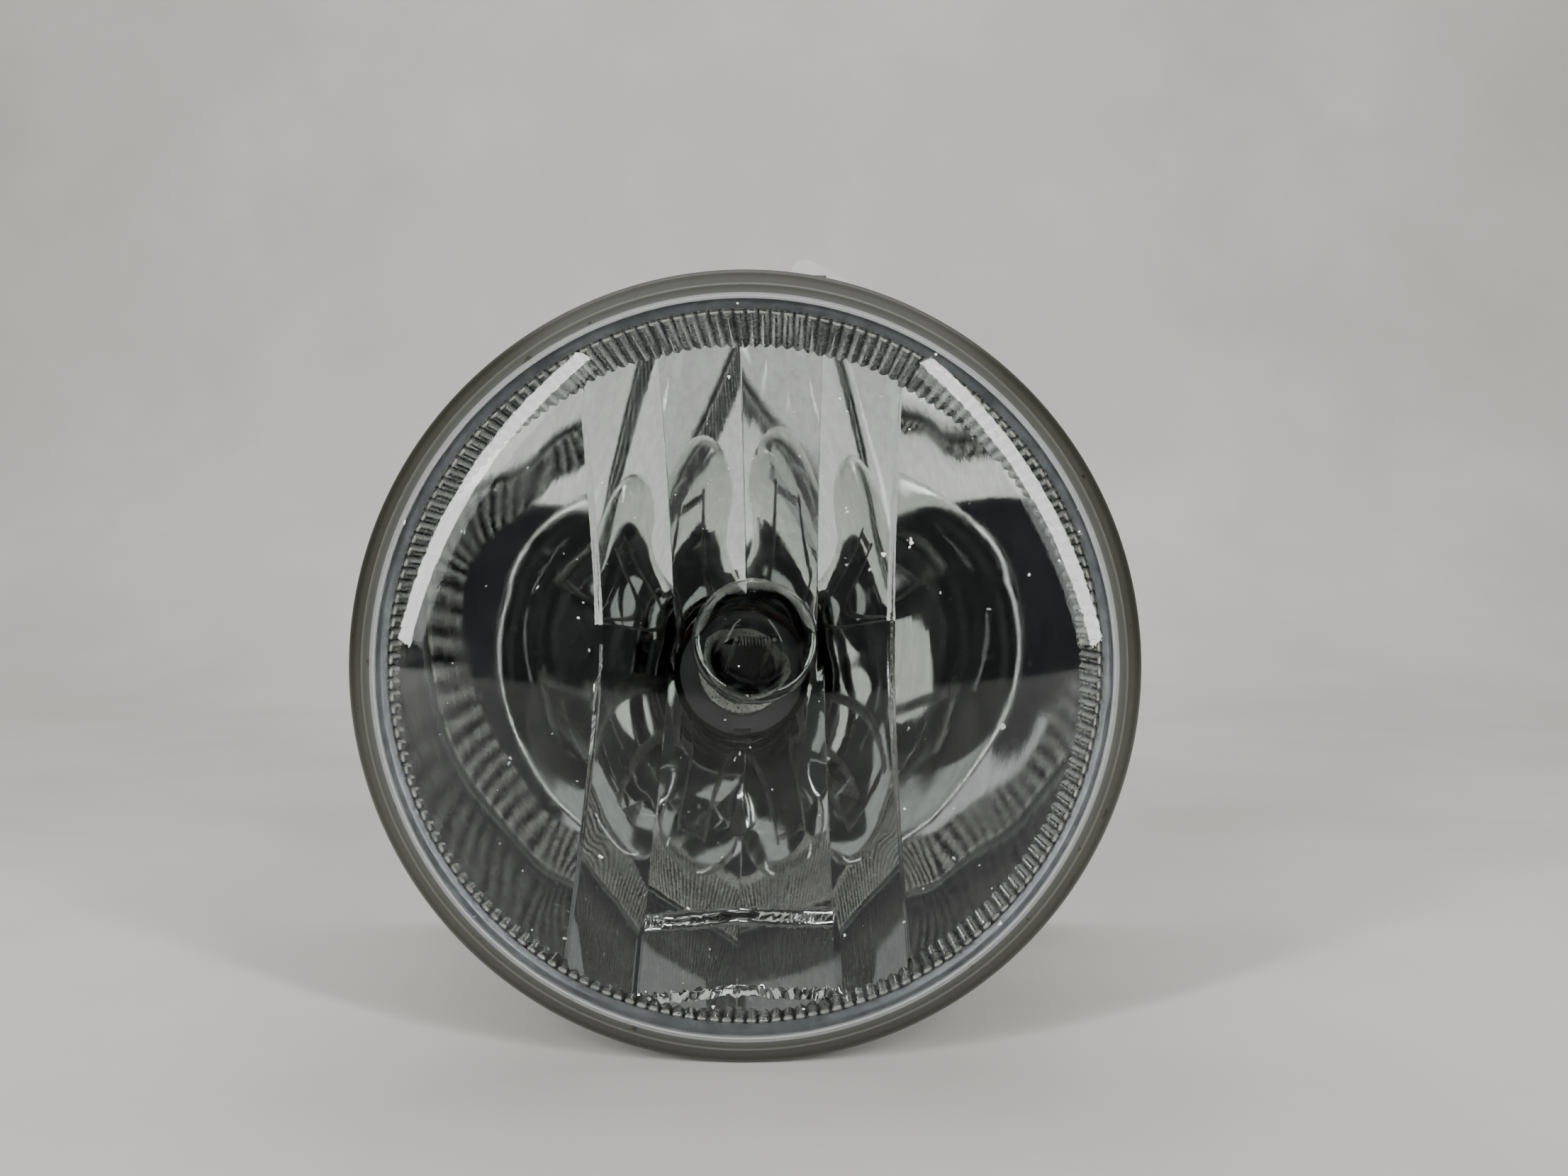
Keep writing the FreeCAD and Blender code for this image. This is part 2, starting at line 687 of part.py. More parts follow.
def make_aiming():
    """The aiming screw in its bush, the clip that holds it, and the ball nut on it."""
    place = Vector(size("screw_x"), 0, size("screw_z"))
    tab_front = "tab_back - tab_thick"
    screw_body = turned("aim_screw_body", [
        ("0", at_depth("screw_tip_depth")),
        ("screw_radius - 0.8", at_depth("screw_tip_depth")),
        ("screw_radius", at_depth("screw_tip_depth + 0.9")),
        ("screw_radius", f"{tab_front} - 2.4"),
        ("screw_radius - 0.6", f"{tab_front} - 2.4"),
        ("screw_radius - 0.6", f"{tab_front} - 1.3"),
        ("3.0", f"{tab_front} - 1.3"),
        ("3.0", "tab_back + 1.3"),
        ("6.0", "tab_back + 1.3"),
        ("6.0", "tab_back + 2.5"),
        ("3.8", "tab_back + 2.5"),
        ("3.8", "tab_back + 7.0"),
        ("3.3", "tab_back + 7.5"),
        ("0", "tab_back + 7.5"),
    ])
    slots = []
    for name, half_x, half_z in (("cross_a", 2.6, 0.55), ("cross_b", 0.55, 2.6)):
        slots.append(block(name, (str(-half_x), "tab_back + 5.2", str(-half_z)),
                           (str(half_x), "tab_back + 9.0", str(half_z))))
    screw = less("aim_screw", screw_body, slots)
    screw.Placement.Base = place
    clip_ring = ring("aim_clip_ring", "screw_radius - 0.55", "5.0",
                     f"{tab_front} - 2.35", f"{tab_front} - 1.35")
    clip_gap = block("aim_clip_gap", ("-1.4", "-12.0", "0"), ("1.4", "0", "6.0"))
    clip = less("aim_clip", clip_ring, [clip_gap])
    clip.Placement.Base = place
    bush = turned("aim_bush", [
        ("3.0 + running_gap", f"{tab_front} - 1.0"),
        ("6.4", f"{tab_front} - 1.0"),
        ("6.4", tab_front),
        ("bush_radius", tab_front),
        ("bush_radius", "tab_back + 1.0"),
        ("3.0 + running_gap", "tab_back + 1.0"),
    ])
    bush.Placement.Base = place
    ball = doc.addObject("Part::Sphere", "aim_nut_ball")
    ball.setExpression("Radius", "Dims.nut_radius")
    ball.Placement.Base = place + Vector(0, size(at_depth("nut_depth")), 0)
    bore = rod("aim_nut_bore", "screw_radius + running_gap", "20.0", BACKWARDS,
               place + Vector(0, size(at_depth("nut_depth")) - 10, 0))
    less("aim_nut", ball, [bore])


def make_bulb_glass():
    """Clear globe on a straight neck, hollow, closed by a glass foot."""
    tip = "globe_centre - globe_radius"
    inner_tip = "globe_centre - globe_radius + bulb_wall"
    neck_in = "neck_radius - bulb_wall"
    join_out = math.sqrt(size("globe_radius") ** 2 - size("neck_radius") ** 2)
    join_in = math.sqrt((size("globe_radius") - size("bulb_wall")) ** 2 - size(neck_in) ** 2)
    glass = turned("bulb_glass", [
        ("0", tip),
        ("neck_radius", f"globe_centre + {join_out}"),
        ("neck_radius", "neck_end"),
        ("0", "neck_end"),
        ("0", "neck_end - 2.0"),
        (neck_in, "neck_end - 2.0"),
        (neck_in, f"globe_centre + {join_in}"),
        ("0", inner_tip),
    ], arcs=(0, 6))
    glass.Placement = on_lamp_axis()


def make_filament_and_leads():
    """A cross-wise coil at the middle of the globe, carried by two upright wires."""
    turns = 9
    pitch = size("filament_length") / turns
    helix = doc.addObject("Part::Helix", "filament_path")
    helix.setExpression("Radius", "Dims.filament_radius")
    helix.setExpression("Height", "Dims.filament_length")
    helix.Pitch = pitch
    wire = doc.addObject("Part::Circle", "filament_wire")
    wire.Radius = 0.14
    start = Vector(size("filament_radius"), 0, 0)
    wire.Placement = along(Vector(0, 1, pitch / 4).normalize(), start)
    coil = doc.addObject("Part::Sweep", "bulb_filament")
    coil.Sections = [wire]
    coil.Spine = (helix, ["Edge1"])
    coil.Solid = True
    coil.Frenet = True
    sideways = FreeCAD.Rotation(Vector(0, 0, 1), Vector(1, 0, 0))
    start = Vector(-size("filament_length") / 2, size("globe_centre"), 0)
    coil.Placement = on_lamp_axis().multiply(FreeCAD.Placement(start, sideways))
    leads = []
    reach = size("filament_length") / 2 + 0.5
    for side, way in (("left", -1), ("right", 1)):
        place = Vector(way * reach, size("globe_centre") - 1.2, 0)
        lead = rod(f"lead_{side}", "0.3", "neck_end - globe_centre + 4.0", BACKWARDS, place)
        lead.Placement = on_lamp_axis().multiply(lead.Placement)
        leads.append(lead)
    group("bulb_leads", leads)


def make_bulb_base():
    """Plastic bayonet base: nose, sealed barrel with three lugs, grip disc, socket."""
    barrel = turned("base_barrel", [
        ("neck_radius + 0.1", "base_front"),
        ("base_nose_radius", "base_front"),
        ("base_nose_radius", "base_front + 3.6"),
        ("base_radius", "base_front + 4.4"),
        ("base_radius", "seal_middle - seal_wire - 0.1"),
        ("base_radius - 0.9", "seal_middle - seal_wire - 0.1"),
        ("base_radius - 0.9", "seal_middle + seal_wire + 0.1"),
        ("base_radius", "seal_middle + seal_wire + 0.1"),
        ("base_radius", "grip_start"),
        ("grip_radius", "grip_start"),
        ("grip_radius", "grip_end - 0.5"),
        ("grip_radius - 0.5", "grip_end"),
        ("base_nose_radius", "grip_end"),
        ("base_nose_radius - 0.6", "shroud_start"),
        ("0", "shroud_start"),
        ("0", "neck_end + 0.1"),
        ("neck_radius + 0.1", "neck_end + 0.1"),
    ])
    pieces = [barrel]
    for index in range(3):
        lug = doc.addObject("Part::Cylinder", f"base_lug_{index}")
        lug.setExpression("Radius", "Dims.lug_radius")
        lug.setExpression("Height", "Dims.lug_end - Dims.lug_start")
        lug.Angle = 30.0
        turn = FreeCAD.Rotation(BACKWARDS, -15 + 120 * index)
        upright = FreeCAD.Rotation(Vector(1, 0, 0), -90)
        lug.Placement = FreeCAD.Placement(Vector(0, size("lug_start"), 0), turn * upright)
        pieces.append(lug)
    for index in range(24):
        tooth = block(f"grip_tooth_{index}", ("grip_radius - 1.0", "grip_start", "-0.7"),
                      ("grip_radius + 0.5", "grip_end - 0.5", "0.7"))
        turn = FreeCAD.Placement(Vector(), FreeCAD.Rotation(BACKWARDS, 15 * index + 7.5))
        tooth.Placement = turn.multiply(tooth.Placement)
        pieces.append(tooth)
    pieces.append(block("base_shroud",
                        ("0 - shroud_width / 2", "shroud_start - 3.0", "0 - shroud_height / 2"),
                        ("shroud_width / 2", "shroud_end", "shroud_height / 2")))
    pieces.append(block("base_latch",
                        ("-3.0", "shroud_start - 1.0", "shroud_height / 2 - 0.5"),
                        ("3.0", "shroud_end - 4.0", "shroud_height / 2 + 1.6")))
    whole = joined("base_whole", pieces)
    room = block("base_room",
                 ("shroud_wall - shroud_width / 2", "shroud_start + 1.0",
                  "shroud_wall - shroud_height / 2"),
                 ("shroud_width / 2 - shroud_wall", "shroud_end + 1.0",
                  "shroud_height / 2 - shroud_wall"))
    key = block("base_key", ("-1.4", "base_front - 1.0", "0 - base_nose_radius - 1.0"),
                ("1.4", "base_front + 1.6", "0.9 - base_nose_radius"))
    shaft = rod("base_neck_room", "neck_radius + 0.1", "neck_end + 0.1 - base_front",
                BACKWARDS, Vector(0, size("base_front"), 0))
    base = less("bulb_base", whole, [room, key, shaft])
    base.Placement = on_lamp_axis()


def make_bulb_small_pieces():
    """The metal ring at the globe's neck, the seal ring and the two contact blades."""
    neck = ring("bulb_neck_ring", "neck_radius + 0.05", "neck_radius + 1.5",
                "base_front - 2.6", "base_front")
    neck.Placement = on_lamp_axis()
    seal = doc.addObject("Part::Torus", "bulb_seal")
    seal.setExpression("Radius1", bound("collar_bore - running_gap - seal_wire"))
    seal.setExpression("Radius2", bound("seal_wire - 0.05"))
    upright = FreeCAD.Rotation(Vector(0, 0, 1), BACKWARDS)
    middle = FreeCAD.Placement(Vector(0, size("seal_middle"), 0), upright)
    seal.Placement = on_lamp_axis().multiply(middle)
    blades = []
    for side, way in (("left", -1), ("right", 1)):
        low, high = sorted((way * 3.6, way * 4.4))
        blade = block(f"blade_{side}", (str(low), "shroud_start - 3.0", "-1.4"),
                      (str(high), "shroud_start + 8.5", "1.4"))
        blade.Placement = on_lamp_axis().multiply(blade.Placement)
        blades.append(blade)
    group("bulb_terminals", blades)


NODES = (
    "lens", "lens_adhesive", "reflector", "housing", "vent_cap", "vent_membrane",
    "pivot_stud_left", "pivot_stud_right", "pivot_bush_left", "pivot_bush_right",
    "bracket", "bolt_sleeves", "aim_bush", "aim_screw", "aim_clip", "aim_nut",
    "bulb_glass", "bulb_filament", "bulb_leads", "bulb_neck_ring", "bulb_base",
    "bulb_seal", "bulb_terminals",
)


def check_document():
    """Stop at any failed object or any node whose shape is missing or not valid."""
    for item in doc.Objects:
        if "Invalid" in item.State or "Error" in item.State:
            raise RuntimeError(f"{item.Label} failed: {item.State}")
    for name in NODES:
        shape = doc.getObjectsByLabel(name)[0].Shape
        if shape.isNull() or not shape.isValid() or not shape.Solids:
            raise RuntimeError(f"{name} has no valid solid")


def write_parts():
    """Write each node to its own file and print its size."""
    os.makedirs("parts", exist_ok=True)
    for name in NODES:
        shape = doc.getObjectsByLabel(name)[0].Shape
        shape.exportStep(f"parts/{name}.step")
        box = shape.BoundBox
        print(f"{name}: {len(shape.Solids)} solid(s), {shape.Volume:.0f} mm3, "
              f"x {box.XMin:.1f} {box.XMax:.1f}, y {box.YMin:.1f} {box.YMax:.1f}, "
              f"z {box.ZMin:.1f} {box.ZMax:.1f}")


make_lens()
make_lens_adhesive()
make_reflector()
make_housing()
make_vent()
make_pivots()
make_bracket()
make_bolt_sleeves()
make_aiming()
make_bulb_glass()
make_filament_and_leads()
make_bulb_base()
make_bulb_small_pieces()
doc.recompute()
check_document()
write_parts()
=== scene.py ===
"""Looks of a round fog lamp: fluted mirror behind pressed glass, clear bulb, raw mouldings.

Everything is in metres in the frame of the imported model: the lens faces -Y, +Z is up.
The lamp's own sizes are written in millimetres and turned to metres by MM; the stage and
the lights are in metres. "Depth" is counted back along +Y from the plane of the lens rim.
"""
import json
import math

import bpy
import numpy as np
from mathutils import Matrix, Vector


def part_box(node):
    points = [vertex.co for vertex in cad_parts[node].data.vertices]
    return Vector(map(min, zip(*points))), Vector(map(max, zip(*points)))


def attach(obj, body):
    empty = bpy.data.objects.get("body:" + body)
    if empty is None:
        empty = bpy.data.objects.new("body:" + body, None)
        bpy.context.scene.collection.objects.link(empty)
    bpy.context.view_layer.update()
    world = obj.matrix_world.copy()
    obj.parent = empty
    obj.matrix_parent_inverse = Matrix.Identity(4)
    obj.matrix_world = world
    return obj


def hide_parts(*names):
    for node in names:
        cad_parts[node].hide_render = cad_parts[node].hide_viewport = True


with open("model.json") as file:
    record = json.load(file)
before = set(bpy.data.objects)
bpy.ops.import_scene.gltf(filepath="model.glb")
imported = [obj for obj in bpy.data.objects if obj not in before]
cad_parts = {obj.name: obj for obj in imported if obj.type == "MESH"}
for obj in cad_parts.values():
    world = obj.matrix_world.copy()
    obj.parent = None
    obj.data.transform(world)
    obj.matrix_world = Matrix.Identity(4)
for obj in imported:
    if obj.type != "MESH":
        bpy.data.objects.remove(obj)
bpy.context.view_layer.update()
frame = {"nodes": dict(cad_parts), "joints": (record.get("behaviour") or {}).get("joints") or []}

MM = 0.001
TURN = 2 * math.pi

# ---------------------------------------------------------------- sizes of the glass
RIM_RADIUS = 49.0 * MM
DOME_EDGE = 44.2 * MM
DOME_HEIGHT = 8.0 * MM

# distance of the globe's middle before the bulb hole, along the lamp axis
GLOBE_CENTRE = -21.9 * MM

# ---------------------------------------------------------------- places from the frame
lens_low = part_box("lens")[0]
RIM_Y = lens_low.y + DOME_HEIGHT
FLOOR_Z = lens_low.z
JOINTS = {joint["name"]: joint for joint in frame["joints"]}
HOLE = np.array(JOINTS["bulb_turn"]["pos_m"])
LAMP_AXIS = np.array(JOINTS["bulb_turn"]["axis"])

# ---------------------------------------------------------------- sizes of the mirror
WALL_RADIUS = 43.4 * MM
WALL_DRAFT = 0.03
HOLE_RADIUS = 10.8 * MM
LIP_DEPTH = 1.3 * MM
SHELL = 1.4 * MM

# the corner between the fluted wall and the bowl: its mean depth, how much deeper it is at
# the top and at +X, and how much shallower at both sides
EDGE_MEAN = 9.9 * MM
EDGE_TOP = 6.75 * MM
EDGE_RIGHT = 2.5 * MM
EDGE_SIDES = 3.4 * MM
OVERLAP = 0.3 * MM

# how the bowl swells between edge and hole: 1 is a straight cone, less swells forwards; and
# the sines of the angle between which it changes from the sides to the top and the bottom
UPPER_POWER = 0.85
SIDE_POWER = 1.0
LOWER_POWER = 0.95
UPPER_CHANGE = (0.3, 0.8)
LOWER_CHANGE = (-0.75, -0.93)

# column borders across the middle of the mirror, how far each column bulges, and how far
# the columns stand proud of the side lobes
UPPER_BORDERS = np.array([-22.3, -12.3, -1.2, 10.0, 20.6]) * MM
LOWER_BORDERS = np.array([-22.3, -13.4, -1.2, 11.2, 20.6]) * MM
COLUMN_RADIUS = 16.0 * MM
STEP = 1.3 * MM
STEP_SLOPE = 0.25 * MM
BORDER_CHANGE = 3.0 * MM

# soft waves across the side lobes: they grow beside the columns and fade near the wall
WAVE_HEIGHT = 0.05 * MM
WAVE_LENGTH = 26.0 * MM
WAVE_START = 1 * MM
WAVE_FULL = 6 * MM
FADE_START = 38 * MM
FADE_END = 43 * MM

# the ledge at the foot of the two middle columns, with its sloping sides, top and foot
LEDGE_LEFT = -13.5 * MM
LEDGE_RIGHT = 11.6 * MM
LEDGE_TOP = -33.7 * MM
LEDGE_FOOT = -41.0 * MM
LEDGE_HEIGHT = 2.2 * MM
LEDGE_SIDE_SLOPE = 0.4 * MM
LEDGE_TOP_SLOPE = 0.6 * MM

# the flutes of the wall, whose grooves cut a little into it, and the flat beads on their
# front ends
FLUTES = 180
FLUTE_HEIGHT = 0.38 * MM
FLUTE_END = 0.7 * MM
GROOVE = 0.1 * MM
WALL = 1.2 * MM
BEAD_ALONG = 0.60 * MM
BEAD_OUT = 0.28 * MM
BEAD_FORWARD = 0.34 * MM
BEAD_RADIUS = 43.25 * MM
BEAD_DEPTH = 1.35 * MM


# ================================================================ mesh helpers
MERGE = 1e-7


def mesh_object(name, grids, sharp=None):
    """Make one object of several point grids, each an array [rows, columns, 3]; faces join
    neighbours in rows and columns. Points that fall together are merged, which closes
    seams and poles, and faces are turned so that the volume they enclose is positive.
    With sharp, edges that turn more than that many degrees stay sharp."""
    points, faces = [], []
    start = 0
    for grid in grids:
        rows, columns = grid.shape[:2]
        index = start + np.arange(rows * columns).reshape(rows, columns)
        corners = (index[:-1, :-1], index[1:, :-1], index[1:, 1:], index[:-1, 1:])
        faces.append(np.stack([corner.ravel() for corner in corners], axis=1))
        points.append(grid.reshape(-1, 3))
        start += rows * columns
    points = np.concatenate(points)
    faces = np.concatenate(faces)
    keys = np.round(points / MERGE).astype(np.int64)
    _, first, where = np.unique(keys, axis=0, return_index=True, return_inverse=True)
    points = points[first]
    faces = where.reshape(-1)[faces]
    a, b, c, d = (points[faces[:, corner]] for corner in range(4))
    volume = (np.cross(b - a, c - a) * a).sum() + (np.cross(c - a, d - a) * a).sum()
    if volume < 0:
        faces = faces[:, ::-1]
    mesh = bpy.data.meshes.new(name)
    solid = [tuple(dict.fromkeys(face)) for face in faces.tolist()]
    mesh.from_pydata(points.tolist(), [], [face for face in solid if len(face) > 2])
    mesh.validate()
    mesh.shade_smooth()
    if sharp is not None:
        mesh.set_sharp_from_angle(angle=math.radians(sharp))
    piece = bpy.data.objects.new(name, mesh)
    bpy.context.scene.collection.objects.link(piece)
    return piece


def rounded(corners, radius):
    """Round every corner of a profile but its two ends: each is replaced by a quadratic
    curve of five points, from a point before it to a point after it."""
    result = [corners[:1]]
    share = np.linspace(0, 1, 5)[:, None]
    for before, here, after in zip(corners[:-2], corners[1:-1], corners[2:]):
        back = before - here
        on = after - here
        reach = min(radius, 0.45 * np.linalg.norm(back), 0.45 * np.linalg.norm(on))
        start = here + back / np.linalg.norm(back) * reach
        finish = here + on / np.linalg.norm(on) * reach
        curve = (1 - share) ** 2 * start + 2 * share * (1 - share) * here + share**2 * finish
        result.append(curve)
    result.append(corners[-1:])
    return np.concatenate(result)


def closed_turn(count):
    """Angles of one turn in count steps, whose last is the first again."""
    angle = np.linspace(0, TURN, count + 1)
    angle[-1] = 0.0
    return angle


def revolve(profile, count):
    """Carry a profile of (radius, depth) round the rim's axis: the point at angle t is
    (r cos t, rim + depth, r sin t)."""
    angle = closed_turn(count)
    radius = profile[:, :1]
    depth = profile[:, 1:]
    across = radius * np.cos(angle)
    up = radius * np.sin(angle)
    return np.stack([across, RIM_Y + depth + 0 * across, up], axis=-1)


def lamp_frame():
    """Two unit vectors square to the lamp axis: sideways and up."""
    side = np.cross(LAMP_AXIS, [0, 0, 1.0])
    side = side / np.linalg.norm(side)
    return side, np.cross(side, LAMP_AXIS)


def revolve_on_lamp_axis(profile, count):
    """Carry a profile of (radius, distance back from the bulb hole) round the lamp axis: the
    point at angle t is the hole's middle, the distance along the axis, and the radius along
    the side vector times cos t plus the up vector times sin t."""
    side, up = lamp_frame()
    angle = closed_turn(count)
    ring = np.cos(angle)[:, None] * side + np.sin(angle)[:, None] * up
    return (HOLE + profile[:, 1][:, None, None] * LAMP_AXIS
            + profile[:, 0][:, None, None] * ring[None])


def arc(middle, radius, start, finish, steps):
    """Points of a circle in the profile plane, angles in degrees from the radial axis."""
    angle = np.radians(np.linspace(start, finish, steps))
    return np.stack([middle[0] + radius * np.cos(angle),
                     middle[1] + radius * np.sin(angle)], axis=1)


# ================================================================ the mirror's surface
def bowl_edge_depth(angle):
    """Depth of the corner between the fluted wall and the bowl: a mean, plus a sine that
    makes it deepest at the top, a cosine that favours +X, and less a cosine of twice the
    angle that makes it shallow at the sides and deep at the top and the bottom."""
    return (EDGE_MEAN + EDGE_TOP * np.sin(angle) + EDGE_RIGHT * np.cos(angle)
            - EDGE_SIDES * np.cos(2 * angle))


def wall_radius(depth):
    """Radius of the wall at a depth: it narrows evenly backwards."""
    return WALL_RADIUS - WALL_DRAFT * (depth - LIP_DEPTH)


def bowl_depth(x, z):
    """Depth of the plain bowl at (x, z). Circles shrink from the edge to the bulb hole
    while their middles move from the rim's axis to the hole. What is left of the depth is
    a power of what is left of the way: a straight cone at the sides, and swelling forwards
    at the top and a little at the bottom. The hole's own plane is square to the lamp axis.
    The circle through a point is found by repeating."""
    hole_depth = HOLE[1] - RIM_Y
    radius = np.hypot(x, z)
    for _ in range(14):
        angle = np.arctan2(z, x)
        edge = wall_radius(bowl_edge_depth(angle))
        fall = np.clip((edge - radius) / (edge - HOLE_RADIUS), -0.05, 1.05)
        dx, dz = x - HOLE[0] * fall, z - HOLE[2] * fall
        radius = np.hypot(dx, dz)
    angle = np.arctan2(dz, dx)
    edge_depth = bowl_edge_depth(angle)
    tilt = (-LAMP_AXIS[0] * dx - LAMP_AXIS[2] * dz) / LAMP_AXIS[1]
    height = np.sin(angle)
    power = (SIDE_POWER + (UPPER_POWER - SIDE_POWER) * ramp(height, *UPPER_CHANGE)
             + (LOWER_POWER - SIDE_POWER) * ramp(height, *LOWER_CHANGE))
    share = 1 - np.clip(1 - fall, 0, None) ** power
    return edge_depth + (hole_depth + tilt - edge_depth) * share


def ramp(value, start, finish):
    """0 before start, 1 after finish, smooth between."""
    share = np.clip((value - start) / (finish - start), 0, 1)
    return share * share * (3 - 2 * share)


def column_bulge(x, borders):
    """Height of the convex columns: a circle's arc over each strip, zero at its borders."""
    index = np.clip(np.searchsorted(borders, x, side="right") - 1, 0, len(borders) - 2)
    left, right = borders[index], borders[index + 1]
    half = (right - left) / 2
    off = x - (left + right) / 2
    inside = (x > borders[0]) & (x < borders[-1])
    return np.where(inside, (half**2 - off**2) / (2 * COLUMN_RADIUS), 0.0)


def relief(x, z):
    """Everything that stands proud of the plain bowl, towards the front: the columns, which
    change from the upper to the lower borders at the height of the bulb hole, the step along
    their sides, a squared sine across the side lobes, and the block of the ledge."""
    low = ramp(z, HOLE[2] + BORDER_CHANGE, HOLE[2] - BORDER_CHANGE)
    bulge = column_bulge(x, UPPER_BORDERS) * (1 - low) + column_bulge(x, LOWER_BORDERS) * low
    left = UPPER_BORDERS[0]
    right = UPPER_BORDERS[-1]
    middle = (ramp(x, left - STEP_SLOPE, left + STEP_SLOPE)
              * ramp(x, right + STEP_SLOPE, right - STEP_SLOPE))
    lobe = np.where(x < 0, left - x, x - right)
    wave = (WAVE_HEIGHT * np.sin(TURN * lobe / WAVE_LENGTH) ** 2
            * ramp(lobe, WAVE_START, WAVE_FULL) * ramp(np.hypot(x, z), FADE_END, FADE_START))
    ledge = (ramp(x, LEDGE_LEFT, LEDGE_LEFT + LEDGE_SIDE_SLOPE)
             * ramp(x, LEDGE_RIGHT, LEDGE_RIGHT - LEDGE_SIDE_SLOPE)
             * ramp(z, LEDGE_TOP, LEDGE_TOP - LEDGE_TOP_SLOPE)
             * ramp(z, LEDGE_FOOT, LEDGE_FOOT + LEDGE_SIDE_SLOPE))
    return bulge + STEP * middle + np.where(lobe > 0, wave, 0.0) + LEDGE_HEIGHT * ledge


def mirror_depth(x, z):
    """Depth of the finished mirror: the plain bowl less the relief."""
    return bowl_depth(x, z) - relief(x, z)


def chord(x, radius_of):
    """Upper and lower z of the closed outline at each x; radius_of gives the outline's
    radius at an angle. Found by repeating from a plain circle. At the first x the lower one
    stays a little below 0."""
    first_radius = 42 * MM
    high = np.sqrt(np.maximum(first_radius**2 - x**2, 0))
    low = -high
    for _ in range(20):
        r_high = radius_of(np.arctan2(high, x))
        r_low = radius_of(np.arctan2(low, x))
        high = np.sqrt(np.maximum(r_high**2 - x**2, 0))
        low = -np.sqrt(np.maximum(r_low**2 - x**2, 0))
    return high, low


def edge_radius(angle):
    """Radius of the bowl's outline, a little outside the corner between wall and bowl."""
    return wall_radius(bowl_edge_depth(angle)) + OVERLAP


def column_lines():
    """The x of every upright line of the mirror's grid: even round the outline, but crowded
    at the column borders and across the bulb hole."""
    ledge = [LEDGE_LEFT, LEDGE_LEFT + LEDGE_SIDE_SLOPE,
             LEDGE_RIGHT - LEDGE_SIDE_SLOPE, LEDGE_RIGHT]
    borders = np.unique(np.round(np.concatenate([UPPER_BORDERS, LOWER_BORDERS, ledge]), 7))
    angle = np.linspace(-math.pi / 2, math.pi / 2, 170)
    left = -edge_radius(math.pi)
    right = edge_radius(0.0)
    even = (left + right) / 2 + (right - left) / 2 * np.sin(angle)
    inner = 0.12 * MM
    offsets = np.array([-STEP_SLOPE, -inner, 0.0, inner, STEP_SLOPE])
    close = (borders[:, None] + offsets[None]).ravel()
    hole_x = HOLE[0] + HOLE_RADIUS * np.sin(np.linspace(-math.pi / 2, math.pi / 2, 33))
    gap = np.abs(even[:, None] - close[None]).min(axis=1)
    gap_hole = np.abs(even[:, None] - hole_x[None]).min(axis=1)
    clear = 0.1 * MM
    clear_hole = 0.08 * MM
    even = even[(gap > clear) & (gap_hole > clear_hole)]
    return np.unique(np.round(np.concatenate([even, close, hole_x]), 7))


def patch(x, low, high, rows, depth_of):
    """The part of a surface over upright lines x from z = low(x) to z = high(x)."""
    share = np.linspace(0, 1, rows)[:, None]
    z = low[None] + (high - low)[None] * share
    x = np.broadcast_to(x, z.shape)
    return np.stack([x, RIM_Y + depth_of(x, z), z], axis=-1)


def back_depth(x, z):
    """Back of the mirror shell: the plain bowl moved back by its thickness."""
    return bowl_depth(x, z) + SHELL


def make_mirror():
    """Mirror shell: over upright lines, an upper and a lower part meet at the height of the
    bulb hole and run round it; a plain back and strips along the outline and the hole close
    the shell, but for a small slit at the outline's left end."""
    x = column_lines()
    high, low = chord(x, edge_radius)
    half = np.sqrt(np.maximum(HOLE_RADIUS**2 - (x - HOLE[0]) ** 2, 0))
    above = np.clip(HOLE[2] + half, low, high)
    below = np.clip(HOLE[2] - half, low, high)
    front_rows = 96
    back_rows = 12
    slack = 0.01 * MM
    grids = []
    round_hole = np.flatnonzero(np.abs(x - HOLE[0]) < HOLE_RADIUS + slack)
    for start, finish, rim_row in ((above, high, -1), (low, below, 0)):
        front = patch(x, start, finish, front_rows, mirror_depth)
        back = patch(x, start, finish, back_rows, back_depth)
        grids += [front, back[:, ::-1]]
        for row, columns in ((rim_row, slice(None)), (-1 - rim_row, round_hole)):
            strip = np.stack([front[row, columns], back[row, columns]])
            grids.append(strip if row == 0 else strip[::-1])
    return mesh_object("mirror_bowl", grids, sharp=35)


def make_fluted_wall():
    """Round wall of flutes: the radius is the drafted wall less the size of a sine of the
    angle, one hump a flute. Each flute rises from nothing in a quarter of an ellipse at its
    front end, where the rows of the grid crowd. A plain outside closes the ring."""
    steps = FLUTES * 8
    angle = closed_turn(steps)
    share = np.concatenate([np.linspace(0, 0.07, 6), np.linspace(0.12, 1, 10)])[:, None]
    corner = bowl_edge_depth(angle)[None]
    depth = LIP_DEPTH + (corner + OVERLAP - LIP_DEPTH) * share
    hump = np.abs(np.sin(FLUTES * np.linspace(0, TURN, steps + 1) / 2))[None]
    front = np.clip((depth - LIP_DEPTH) / FLUTE_END, 0, 1)
    height = FLUTE_HEIGHT * hump * np.sqrt(front * (2 - front))
    radius = wall_radius(depth) + GROOVE - height
    outside = wall_radius(depth[[-1, 0]]) + WALL + 0 * height[[-1, 0]]
    radius = np.concatenate([radius, outside, radius[:1]])
    depth = np.concatenate([depth, depth[[-1, 0, 0]]]) + 0 * radius
    grid = np.stack([radius * np.cos(angle), RIM_Y + depth, radius * np.sin(angle)], axis=-1)
    return mesh_object("mirror_flutes", [grid], sharp=60)


